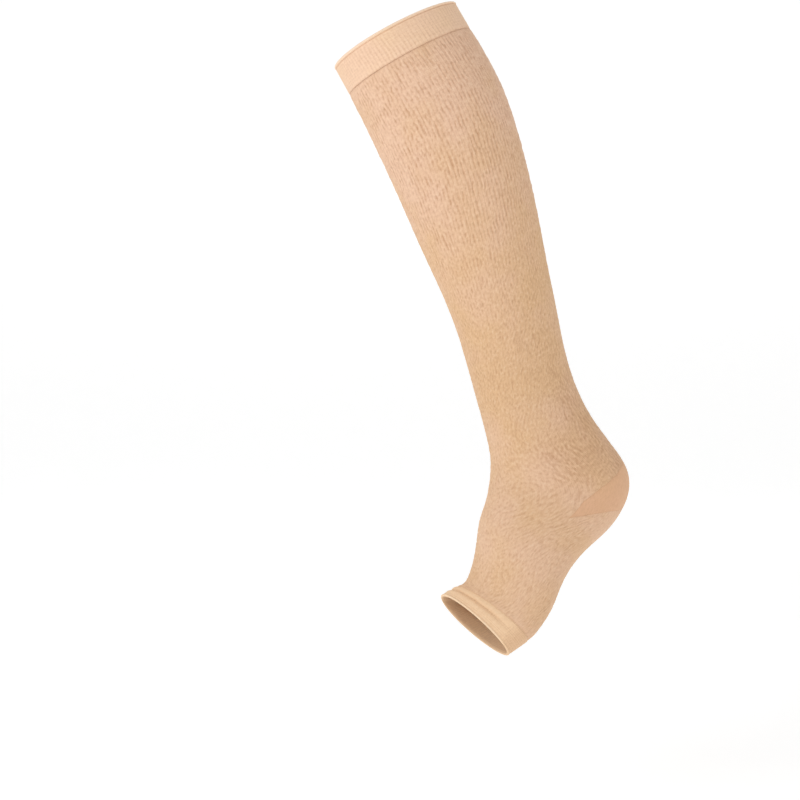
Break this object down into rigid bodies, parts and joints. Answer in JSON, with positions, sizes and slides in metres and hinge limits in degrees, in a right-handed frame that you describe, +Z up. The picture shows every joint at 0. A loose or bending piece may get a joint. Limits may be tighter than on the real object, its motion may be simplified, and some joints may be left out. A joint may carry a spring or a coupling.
{
  "type": "open-toe compression stocking",
  "caption": "Knee-high knitted compression stocking in worn form, with a ribbed top band, a set-in heel pocket and an open toe with a welt.",
  "frame": {"origin": "centre of the top opening, where the stocking grips the wearer's calf", "axes": "+Z up as worn, toes towards -Y, outer side of the leg towards +X; the leg leans forward 22.6 degrees"},
  "size_m": [0.116, 0.2445, 0.5146],
  "materials": {
    "leg_knit": "matt ripple knit",
    "band_knit": "matt ribbed knit",
    "heel_knit": "smooth plain knit"
  },
  "bodies": {
    "root": {"top_band": "band_knit", "leg": "leg_knit", "heel_pocket": "heel_knit", "foot": "leg_knit", "toe_band": "band_knit"}
  },
  "joints": []
}
